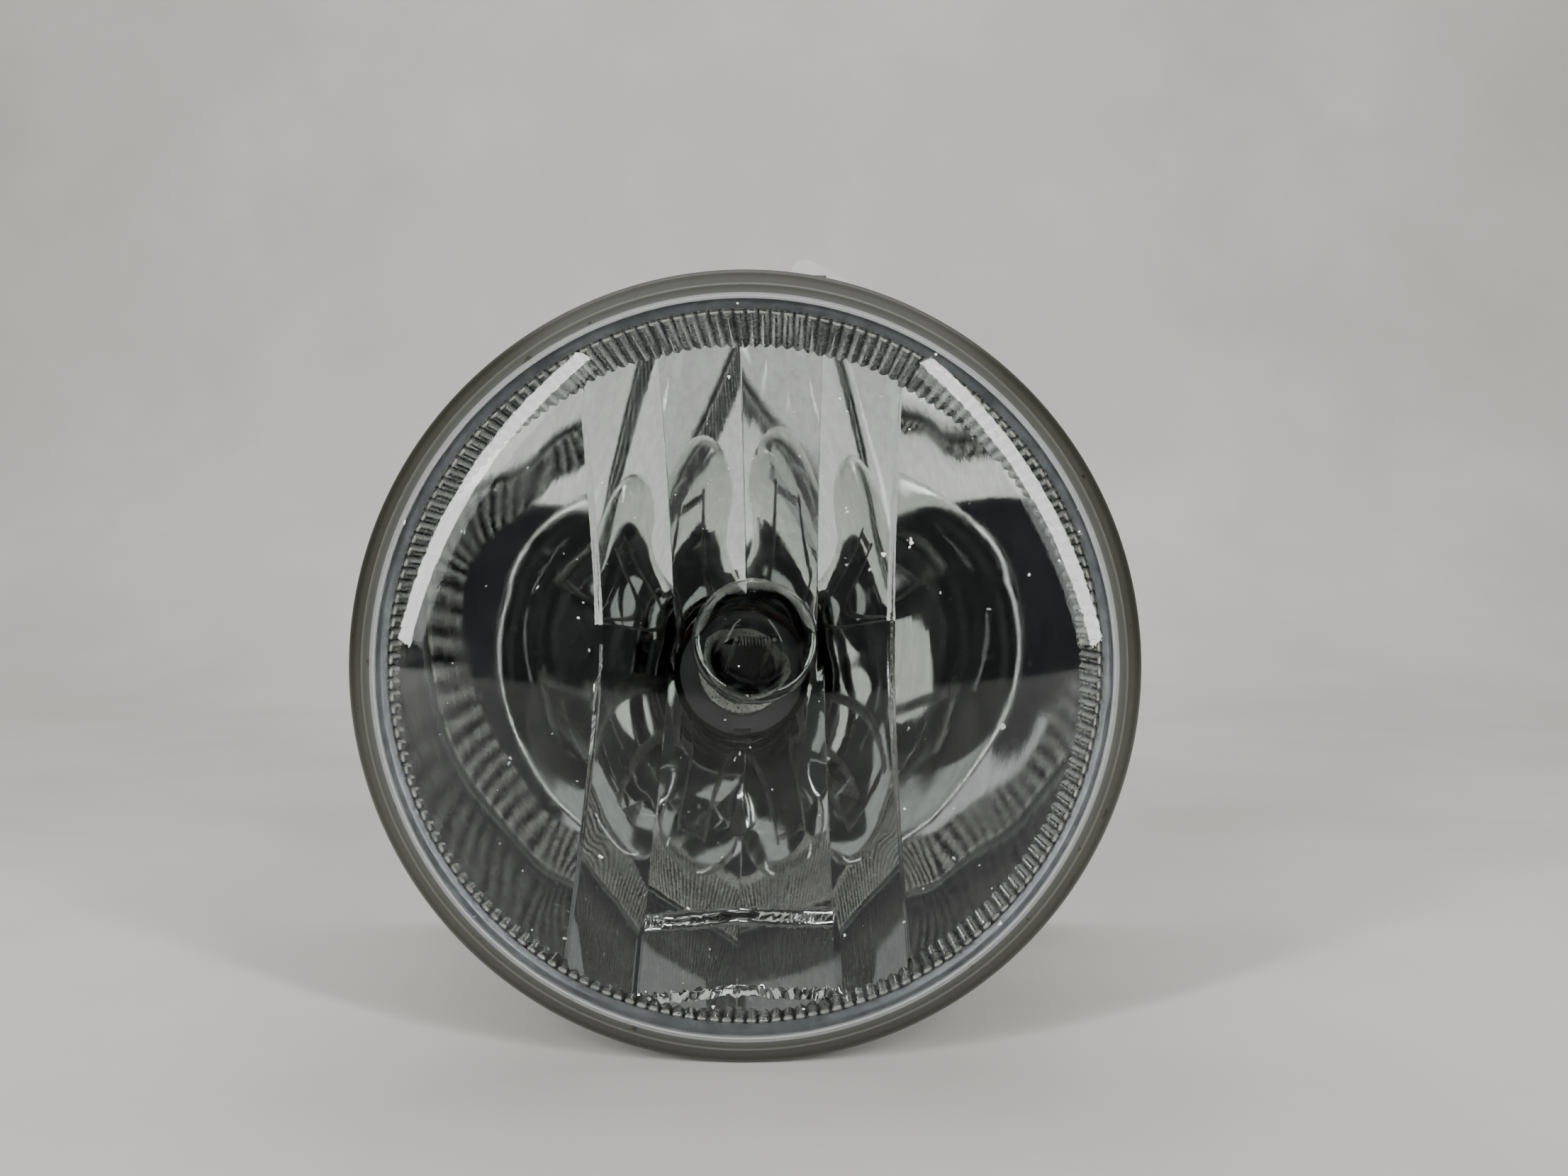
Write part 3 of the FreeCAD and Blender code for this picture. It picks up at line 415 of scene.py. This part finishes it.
def make_beads():
    """Row of flat beads on the front ends of the flutes: each is an ellipsoid, longest along
    the ring, turned about the rim's axis to the crest of its flute."""
    across = closed_turn(8)
    along = np.linspace(-math.pi / 2, math.pi / 2, 7)[:, None]
    ring = BEAD_ALONG * np.sin(along) + 0 * across
    radius = BEAD_RADIUS + BEAD_OUT * np.cos(along) * np.cos(across)
    depth = BEAD_DEPTH + BEAD_FORWARD * np.cos(along) * np.sin(across)
    grids = []
    for crest in (np.arange(FLUTES) + 0.5) * TURN / FLUTES:
        x = radius * math.cos(crest) - ring * math.sin(crest)
        z = radius * math.sin(crest) + ring * math.cos(crest)
        grids.append(np.stack([x, RIM_Y + depth, z], axis=-1))
    return mesh_object("mirror_beads", grids)


def make_mirror_lip():
    """Turned flange of the mirror: sloping band outside the flutes and its flat edge."""
    profile = rounded(np.array([(43.5, 1.5), (43.5, 1.3), (44.9, 0.5), (45.8, 0.5),
                                (45.8, 2.4), (44.6, 2.4), (43.5, 2.4), (43.5, 1.5)]) * MM,
                      0.2 * MM)
    return mesh_object("mirror_lip", [revolve(profile, 360)], sharp=40)


def make_vent_hole():
    """Dark drop-shaped hole below the bulb, as a thin patch that follows the mirror: a ring
    whose sideways reach is a cosine, less towards the top, and whose upward reach is a sine,
    longer above its middle than below."""
    middle_x = -1.7 * MM
    middle_z = -24.6 * MM
    reach = 1.15 * MM
    reach_up = 2.3 * MM
    narrowing = 0.35
    proud = 0.12 * MM
    thickness = 0.3 * MM
    angle = closed_turn(32)
    share = np.linspace(0, 1, 5)[:, None]
    x = middle_x + share * reach * np.cos(angle) * (1 - narrowing * np.sin(angle))
    z = middle_z + share * np.where(np.sin(angle) > 0, reach_up, reach) * np.sin(angle)
    front = np.stack([x, RIM_Y + mirror_depth(x, z) - proud, z], axis=-1)
    back = front + np.array([0, thickness, 0])
    side = np.stack([front[-1], back[-1]])
    return mesh_object("mirror_vent_hole", [front, back[::-1], side], sharp=40)


# ================================================================ glass
def dome(edge, edge_depth, apex_depth, steps):
    """A glass skin from the middle to its edge: the depth rises with the radius to the
    power of 3.2, so the middle is nearly flat and the shoulder bends down quickly."""
    radius = edge * np.sin(np.linspace(0, math.pi / 2, steps))
    depth = apex_depth + (edge_depth - apex_depth) * (radius / edge) ** 3.2
    return np.stack([radius, depth], axis=1)


def make_lens():
    """The lens section carried once round: domed front, flange with two pressed rings,
    ground edge, foot, and domed back. The section's numbers are millimetres."""
    outer = DOME_EDGE / MM
    rim = RIM_RADIUS / MM
    flange = [(outer, -3.1), (44.75, -2.85), (44.9, -3.0), (45.05, -2.75), (46.4, -1.85),
              (46.6, -1.95), (46.8, -1.6), (48.5, -0.3), (rim, 0.4), (rim, 2.6), (47.5, 2.6),
              (47.5, 5.5), (46.5, 5.5), (46.5, 0.1), (43.4, 0.1), (42.6, -0.12)]
    profile = np.concatenate([dome(outer, -3.1, -DOME_HEIGHT / MM, 60)[:-1],
                              rounded(np.array(flange), 0.3),
                              dome(42.6, -0.12, -4.8, 50)[::-1][1:]]) * MM
    return mesh_object("lens_glass", [revolve(profile, 240)], sharp=50)


def bulb_skin(globe, neck, foot):
    """Profile of one skin of the bulb, from its tip to the middle of its foot: a circle's arc
    over the globe, a quadratic curve into the neck, a straight neck and a flat foot."""
    tip = arc((0, GLOBE_CENTRE), globe, -90, 38, 30)
    bend = np.linspace(0, 1, 12)[1:, None]
    corner = np.array([neck, GLOBE_CENTRE + globe * 0.95])
    end = np.array([neck, GLOBE_CENTRE + globe * 1.45])
    curve = (1 - bend) ** 2 * tip[-1] + 2 * bend * (1 - bend) * corner + bend**2 * end
    return np.concatenate([tip, curve, [[neck, foot], [0.0, foot]]])


def make_bulb_glass():
    """Closed outer skin of the bulb round a closed inner skin, which is turned inside out."""
    outer = bulb_skin(9.0 * MM, 5.5 * MM, 12.0 * MM)
    inner = bulb_skin(8.75 * MM, 5.2 * MM, 10.2 * MM)[::-1]
    return mesh_object("bulb_glass_skin", [revolve_on_lamp_axis(outer, 96),
                                           revolve_on_lamp_axis(inner, 96)], sharp=60)


# ================================================================ materials
def material(name, **values):
    """A material with a principled shader whose plain values are set on its sockets."""
    made = bpy.data.materials.new(name)
    made.use_nodes = True
    shader = made.node_tree.nodes["Principled BSDF"]
    for socket, value in values.items():
        shader.inputs[socket.replace("_", " ")].default_value = value
    return made, made.node_tree, shader


def noise(tree, scale, detail, rough, stretch=None):
    """Noise on object coordinates, in features per metre; stretch squeezes an axis."""
    coords = tree.nodes.new("ShaderNodeTexCoord")
    node = tree.nodes.new("ShaderNodeTexNoise")
    node.inputs["Scale"].default_value = scale
    node.inputs["Detail"].default_value = detail
    node.inputs["Roughness"].default_value = rough
    if stretch is None:
        tree.links.new(coords.outputs["Object"], node.inputs["Vector"])
    else:
        mapping = tree.nodes.new("ShaderNodeMapping")
        mapping.inputs["Scale"].default_value = stretch
        tree.links.new(coords.outputs["Object"], mapping.inputs["Vector"])
        tree.links.new(mapping.outputs["Vector"], node.inputs["Vector"])
    return node.outputs["Fac"]


def map_range(tree, value, low, high, to_low, to_high):
    """Stretch a value from one range to another, clamped."""
    node = tree.nodes.new("ShaderNodeMapRange")
    for socket, number in (("From Min", low), ("From Max", high),
                           ("To Min", to_low), ("To Max", to_high)):
        node.inputs[socket].default_value = number
    tree.links.new(value, node.inputs["Value"])
    return node.outputs["Result"]


def colour_ramp(tree, value, stops):
    """Colours along a value; stops are (place, colour)."""
    node = tree.nodes.new("ShaderNodeValToRGB")
    band = node.color_ramp
    while len(band.elements) < len(stops):
        band.elements.new(0.5)
    for element, (place, colour) in zip(band.elements, stops):
        element.position = place
        element.color = (*colour, 1.0)
    tree.links.new(value, node.inputs["Fac"])
    return node.outputs["Color"]


def bump(tree, shader, height, distance, strength):
    """Bump from a height value, distance in metres."""
    node = tree.nodes.new("ShaderNodeBump")
    node.inputs["Distance"].default_value = distance
    node.inputs["Strength"].default_value = strength
    tree.links.new(height, node.inputs["Height"])
    tree.links.new(node.outputs["Normal"], shader.inputs["Normal"])


def mirror_material():
    """Vacuum-aluminised moulding: bright, with fine haze and faint upright drawing marks."""
    made, tree, shader = material("aluminised", Metallic=1.0)
    streak = noise(tree, 900, 5.0, 0.6, stretch=(1.0, 1.0, 0.04))
    colour = colour_ramp(tree, streak, [(0.3, (0.80, 0.805, 0.81)), (0.7, (0.94, 0.94, 0.935))])
    tree.links.new(colour, shader.inputs["Base Color"])
    haze = noise(tree, 130, 6.0, 0.65)
    tree.links.new(map_range(tree, haze, 0.35, 0.75, 0.015, 0.09), shader.inputs["Roughness"])
    bump(tree, shader, streak, 0.00001, 0.25)
    return made


def radius_from_axis(tree):
    """Distance from the rim's axis, in metres, from object coordinates."""
    coords = tree.nodes.new("ShaderNodeTexCoord")
    flat = tree.nodes.new("ShaderNodeVectorMath")
    flat.operation = "MULTIPLY"
    flat.inputs[1].default_value = (1.0, 0.0, 1.0)
    length = tree.nodes.new("ShaderNodeVectorMath")
    length.operation = "LENGTH"
    tree.links.new(coords.outputs["Object"], flat.inputs[0])
    tree.links.new(flat.outputs["Vector"], length.inputs[0])
    return length.outputs["Value"]


def calculate(tree, operation, first, second):
    """A maths node on two values; second may be a number."""
    node = tree.nodes.new("ShaderNodeMath")
    node.operation = operation
    node.use_clamp = True
    tree.links.new(first, node.inputs[0])
    if isinstance(second, float):
        node.inputs[1].default_value = second
    else:
        tree.links.new(second, node.inputs[1])
    return node.outputs["Value"]


def mix_colours(tree, factor, first, second, blend="MIX"):
    """Blend two colour sockets; factor is a socket or a number."""
    node = tree.nodes.new("ShaderNodeMix")
    node.data_type = "RGBA"
    node.blend_type = blend
    if isinstance(factor, float):
        node.inputs[0].default_value = factor
    else:
        tree.links.new(factor, node.inputs[0])
    tree.links.new(first, node.inputs[6])
    tree.links.new(second, node.inputs[7])
    return node.outputs[2]


def fluted_material():
    """Satin aluminised flutes, with a painted highlight along each crest and painted shade in each
    groove.
    """
    made, tree, shader = material("aluminised_flutes", Metallic=1.0)
    coords = tree.nodes.new("ShaderNodeTexCoord")
    axes = tree.nodes.new("ShaderNodeSeparateXYZ")
    tree.links.new(coords.outputs["Object"], axes.inputs["Vector"])
    turn = tree.nodes.new("ShaderNodeMath")
    turn.operation = "ARCTAN2"
    tree.links.new(axes.outputs["Z"], turn.inputs[0])
    tree.links.new(axes.outputs["X"], turn.inputs[1])
    wave = turn.outputs["Value"]
    # |sin| of the angle, one hump a flute: the mask for the painted crest highlight and groove shade
    for operation, number in (("MULTIPLY", FLUTES / 2), ("SINE", 0.0), ("ABSOLUTE", 0.0)):
        node = tree.nodes.new("ShaderNodeMath")
        node.operation = operation
        node.inputs[1].default_value = number
        tree.links.new(wave, node.inputs[0])
        wave = node.outputs["Value"]
    # Painted light: the base colour is pale on each crest as a highlight and dark in each groove as
    # shade
    colour = colour_ramp(tree, wave, [(0.3, (0.08, 0.083, 0.088)), (0.9, (0.50, 0.50, 0.485))])
    tree.links.new(colour, shader.inputs["Base Color"])
    haze = noise(tree, 500, 5.0, 0.6)
    tree.links.new(map_range(tree, haze, 0.3, 0.7, 0.16, 0.34), shader.inputs["Roughness"])
    return made


def lens_material():
    """Pressed glass, clear in the dome, ground and cloudy olive in the rim, with brown specks
    in the rim, white dust in the dome and a fine haze. The rim's colour also holds a painted
    bright ring near the dome's edge and a painted highlight ridge across its middle, and grows
    darker towards the outer edge. The ramps over the rim run from the dome's edge at 0 to the
    outer edge at 1."""
    made, tree, shader = material("pressed_glass", IOR=1.5,
                                  Specular_Tint=(0.32, 0.32, 0.32, 1.0))
    across = map_range(tree, radius_from_axis(tree), DOME_EDGE, RIM_RADIUS, 0.0, 1.0)
    dust = map_range(tree, noise(tree, 700, 2.0, 0.5), 0.745, 0.77, 0.0, 1.0)
    # Ground glass over the rim, as a mask; its opaque peak near 0.14 also lets the painted bright
    # ring of the rim colour show
    ground = colour_ramp(tree, across, [
        (0.08, (0.0, 0.0, 0.0)), (0.14, (0.7, 0.7, 0.7)), (0.2, (0.36, 0.36, 0.36)),
        (0.225, (0.42, 0.42, 0.42)), (0.265, (1.0, 1.0, 1.0))])
    clouds = noise(tree, 260, 6.0, 0.65)
    # Rim colour: a painted bright ring near the dome's edge at 0.1 and a painted highlight ridge at
    # 0.5, and darker towards the outer edge
    rim = colour_ramp(tree, across, [
        (0.1, (0.40, 0.415, 0.40)), (0.18, (0.12, 0.126, 0.12)), (0.32, (0.078, 0.082, 0.073)),
        (0.46, (0.062, 0.064, 0.054)), (0.5, (0.12, 0.122, 0.107)), (0.54, (0.055, 0.056, 0.046)),
        (0.7, (0.050, 0.050, 0.040)), (0.78, (0.031, 0.031, 0.023)), (1.0, (0.026, 0.026, 0.018))])
    stain = colour_ramp(tree, noise(tree, 420, 3.0, 0.6), [
        (0.66, (1.0, 1.0, 1.0)), (0.72, (0.42, 0.30, 0.14))])
    # The rim colour with its painted highlights, spotted with real brown stains
    stained_rim_and_painted_light = mix_colours(tree, 0.85, rim, stain, "MULTIPLY")
    clear = colour_ramp(tree, dust, [(0.0, (0.955, 0.98, 0.965)), (1.0, (0.78, 0.78, 0.76))])
    tree.links.new(mix_colours(tree, ground, clear, stained_rim_and_painted_light), shader.inputs["Base Color"])
    cloudy = calculate(tree, "MULTIPLY", ground,
                       map_range(tree, clouds, 0.3, 0.7, 0.86, 0.97))
    solid = calculate(tree, "MAXIMUM", cloudy, dust)
    tree.links.new(map_range(tree, solid, 0.0, 1.0, 1.0, 0.0),
                   shader.inputs["Transmission Weight"])
    haze = map_range(tree, noise(tree, 220, 8.0, 0.7), 0.45, 0.8, 0.0, 0.022)
    rough = calculate(tree, "MAXIMUM", haze, calculate(tree, "MULTIPLY", ground, 0.34))
    tree.links.new(rough, shader.inputs["Roughness"])
    bump(tree, shader, clouds, 0.00002, 0.3)
    return made


def bulb_glass_material():
    """Thin clean tube glass."""
    made, tree, shader = material("tube_glass", Transmission_Weight=1.0, IOR=1.3,
                                  Base_Color=(0.80, 0.82, 0.80, 1.0),
                                  Specular_Tint=(0.5, 0.5, 0.5, 1.0))
    haze = noise(tree, 300, 4.0, 0.6)
    tree.links.new(map_range(tree, haze, 0.55, 0.8, 0.0, 0.03), shader.inputs["Roughness"])
    return made


def mottle(tree, shader, coarse, dark, light, fine, roughness):
    """Colour between dark and light by the coarse noise, and gloss about roughness by the
    fine one."""
    tree.links.new(colour_ramp(tree, coarse, [(0.3, dark), (0.7, light)]),
                   shader.inputs["Base Color"])
    tree.links.new(map_range(tree, fine, 0.3, 0.7, roughness - 0.08, roughness + 0.1),
                   shader.inputs["Roughness"])


def moulding_material(name, dark, light, roughness):
    """Moulded plastic: mottled colour, fine grain and uneven gloss."""
    made, tree, shader = material(name)
    grain = noise(tree, 1400, 3.0, 0.5)
    mottle(tree, shader, noise(tree, 60, 6.0, 0.6), dark, light, grain, roughness)
    bump(tree, shader, grain, 0.00004, 0.5)
    return made


def metal_material(name, dark, light, roughness):
    """Plated or drawn metal: uneven colour and fine marks."""
    made, tree, shader = material(name, Metallic=1.0)
    marks = noise(tree, 2500, 3.0, 0.5)
    mottle(tree, shader, noise(tree, 350, 6.0, 0.6), dark, light, marks, roughness)
    bump(tree, shader, marks, 0.00001, 0.4)
    return made


def dress(node, made):
    """Give a carried CAD node its material."""
    piece = frame["nodes"][node]
    piece.data.materials.clear()
    piece.data.materials.append(made)


def finish_piece(piece, made, body, slot, *nodes):
    """Material, body and replaced nodes of a new piece; slot is not used."""
    piece.data.materials.append(made)
    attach(piece, body)
    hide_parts(*nodes)


# ================================================================ stage, lights, camera
def make_stage():
    """Pale table that sweeps up in a quarter circle into a pale wall behind the lamp."""
    half_width = 1.3
    front = -0.55
    bend = 0.34
    bend_radius = 0.22
    wall_top = 1.1
    turn = np.linspace(0, math.pi / 2, 16)
    profile = np.concatenate([
        [[front, 0.0]],
        np.stack([bend + bend_radius * np.sin(turn),
                  bend_radius - bend_radius * np.cos(turn)], axis=1),
        [[bend + bend_radius, wall_top]]])
    x = np.linspace(-half_width, half_width, 9)
    grid = np.zeros((len(profile), len(x), 3))
    grid[..., 0] = x[None]
    grid[..., 1] = profile[:, :1]
    grid[..., 2] = FLOOR_Z + profile[:, 1:]
    floor = mesh_object("table_and_wall", [grid[:, ::-1]])
    made, tree, shader = material("pale_stone", Roughness=0.6)
    shade = colour_ramp(tree, noise(tree, 9, 8.0, 0.6),
                        [(0.3, (0.56, 0.55, 0.52)), (0.7, (0.66, 0.65, 0.615))])
    tree.links.new(shade, shader.inputs["Base Color"])
    floor.data.materials.append(made)


def area_light(name, place, target, along, width, length, power):
    """A rectangular lamp that shines from place towards target; its long side runs along
    the given direction as nearly as the aim allows."""
    data = bpy.data.lights.new(name, "AREA")
    data.shape = "RECTANGLE"
    data.size = width
    data.size_y = length
    data.energy = power
    lamp = bpy.data.objects.new(name, data)
    bpy.context.scene.collection.objects.link(lamp)
    lamp.location = place
    back = (Vector(place) - Vector(target)).normalized()
    side = Vector(along).cross(back).normalized()
    lamp.rotation_euler = Matrix((side, back.cross(side), back)).transposed().to_euler()


def make_lights():
    """A dark room: a large soft lamp above and behind, a narrow leaning panel on each side in
    front, and two weak panels, one above the camera and one under the ceiling."""
    world = bpy.data.worlds.new("room")
    bpy.context.scene.world = world
    world.use_nodes = True
    background = world.node_tree.nodes["Background"]
    background.inputs["Color"].default_value = (0.022, 0.022, 0.024, 1)
    background.inputs["Strength"].default_value = 1.0
    rim_middle = (0, RIM_Y, 0)
    area_light("overhead", (0.0, 0.24, 1.1), (0, 0.2, 0), (1, 0, 0), 0.5, 1.6, 8.0)
    for name, side in (("panel_left", -1), ("panel_right", 1)):
        area_light(name, (side * 0.475, -0.56, 0.265), rim_middle, (-side * 0.32, 0, 0.53),
                   0.046, 0.62, 5.6)
    area_light("front_fill", (0.0, -0.85, 0.36), rim_middle, (0, 0, 1), 0.26, 0.50, 0.20)
    area_light("ceiling_fill", (0.0, -0.7, 0.9), rim_middle, (1, 0, 0), 0.6, 0.9, 0.30)


def make_camera():
    """Camera close in front of the lamp, level, a little above and to the right of it."""
    right = 4.8 * MM
    distance = 148.6 * MM
    above = 9.6 * MM
    data = bpy.data.cameras.new("camera")
    data.sensor_width = 36.0
    data.lens = 27.7
    data.clip_start = 0.01
    camera = bpy.data.objects.new("camera", data)
    bpy.context.scene.collection.objects.link(camera)
    camera.location = (right, RIM_Y - distance, above)
    camera.rotation_euler = (math.pi / 2, 0, 0)
    bpy.context.scene.camera = camera


# ================================================================ the making
make_camera()
make_stage()
make_lights()

finish_piece(make_mirror(), mirror_material(), "lamp", "mirror_coat", "reflector")
finish_piece(make_fluted_wall(), fluted_material(), "lamp", "mirror_coat", "reflector")
cream = metal_material("satin_coat", (0.52, 0.51, 0.47), (0.78, 0.77, 0.72), 0.34)
finish_piece(make_beads(), cream, "lamp", "mirror_coat", "reflector")
dull = metal_material("dull_coat", (0.14, 0.145, 0.16), (0.26, 0.27, 0.29), 0.42)
finish_piece(make_mirror_lip(), dull, "lamp", "mirror_coat", "reflector")
finish_piece(make_lens(), lens_material(), "lamp", "glass_lens", "lens")
finish_piece(make_bulb_glass(), bulb_glass_material(), "bulb", "bulb_glass", "bulb_glass")

dress("housing", moulding_material("raw_moulding", (0.40, 0.39, 0.385), (0.50, 0.49, 0.48), 0.6))
dress("lens_adhesive", moulding_material("adhesive", (0.16, 0.17, 0.13), (0.30, 0.31, 0.26), 0.5))
dress("bracket", moulding_material("black_nylon", (0.018, 0.018, 0.02), (0.035, 0.035, 0.037), 0.5))
dress("bulb_base", moulding_material("dark_base", (0.03, 0.03, 0.033), (0.055, 0.055, 0.06), 0.45))
rubber = moulding_material("rubber", (0.012, 0.012, 0.012), (0.025, 0.025, 0.025), 0.6)
dress("vent_cap", rubber)
dress("vent_membrane", moulding_material("white_disc", (0.7, 0.7, 0.68), (0.8, 0.8, 0.78), 0.8))
dress("bulb_seal", moulding_material("silicone", (0.25, 0.06, 0.035), (0.36, 0.10, 0.06), 0.4))
finish_piece(make_vent_hole(), rubber, "lamp", "mirror_coat", "reflector")
nylon = moulding_material("natural_nylon", (0.62, 0.60, 0.54), (0.74, 0.72, 0.66), 0.4)
for node in ("pivot_bush_left", "pivot_bush_right", "aim_bush", "aim_nut"):
    dress(node, nylon)
zinc = metal_material("zinc", (0.42, 0.41, 0.38), (0.66, 0.65, 0.60), 0.3)
for node in ("pivot_stud_left", "pivot_stud_right", "bolt_sleeves", "aim_screw"):
    dress(node, zinc)
dress("aim_clip", metal_material("spring_steel", (0.10, 0.10, 0.10), (0.22, 0.21, 0.20), 0.35))
dress("bulb_terminals", metal_material("tin", (0.55, 0.55, 0.54), (0.75, 0.75, 0.73), 0.3))
tungsten = metal_material("tungsten", (0.16, 0.16, 0.16), (0.34, 0.33, 0.32), 0.35)
for node in ("bulb_filament", "bulb_leads"):
    dress(node, tungsten)
dress("bulb_neck_ring", metal_material("dull_steel", (0.42, 0.41, 0.38), (0.66, 0.64, 0.60), 0.3))
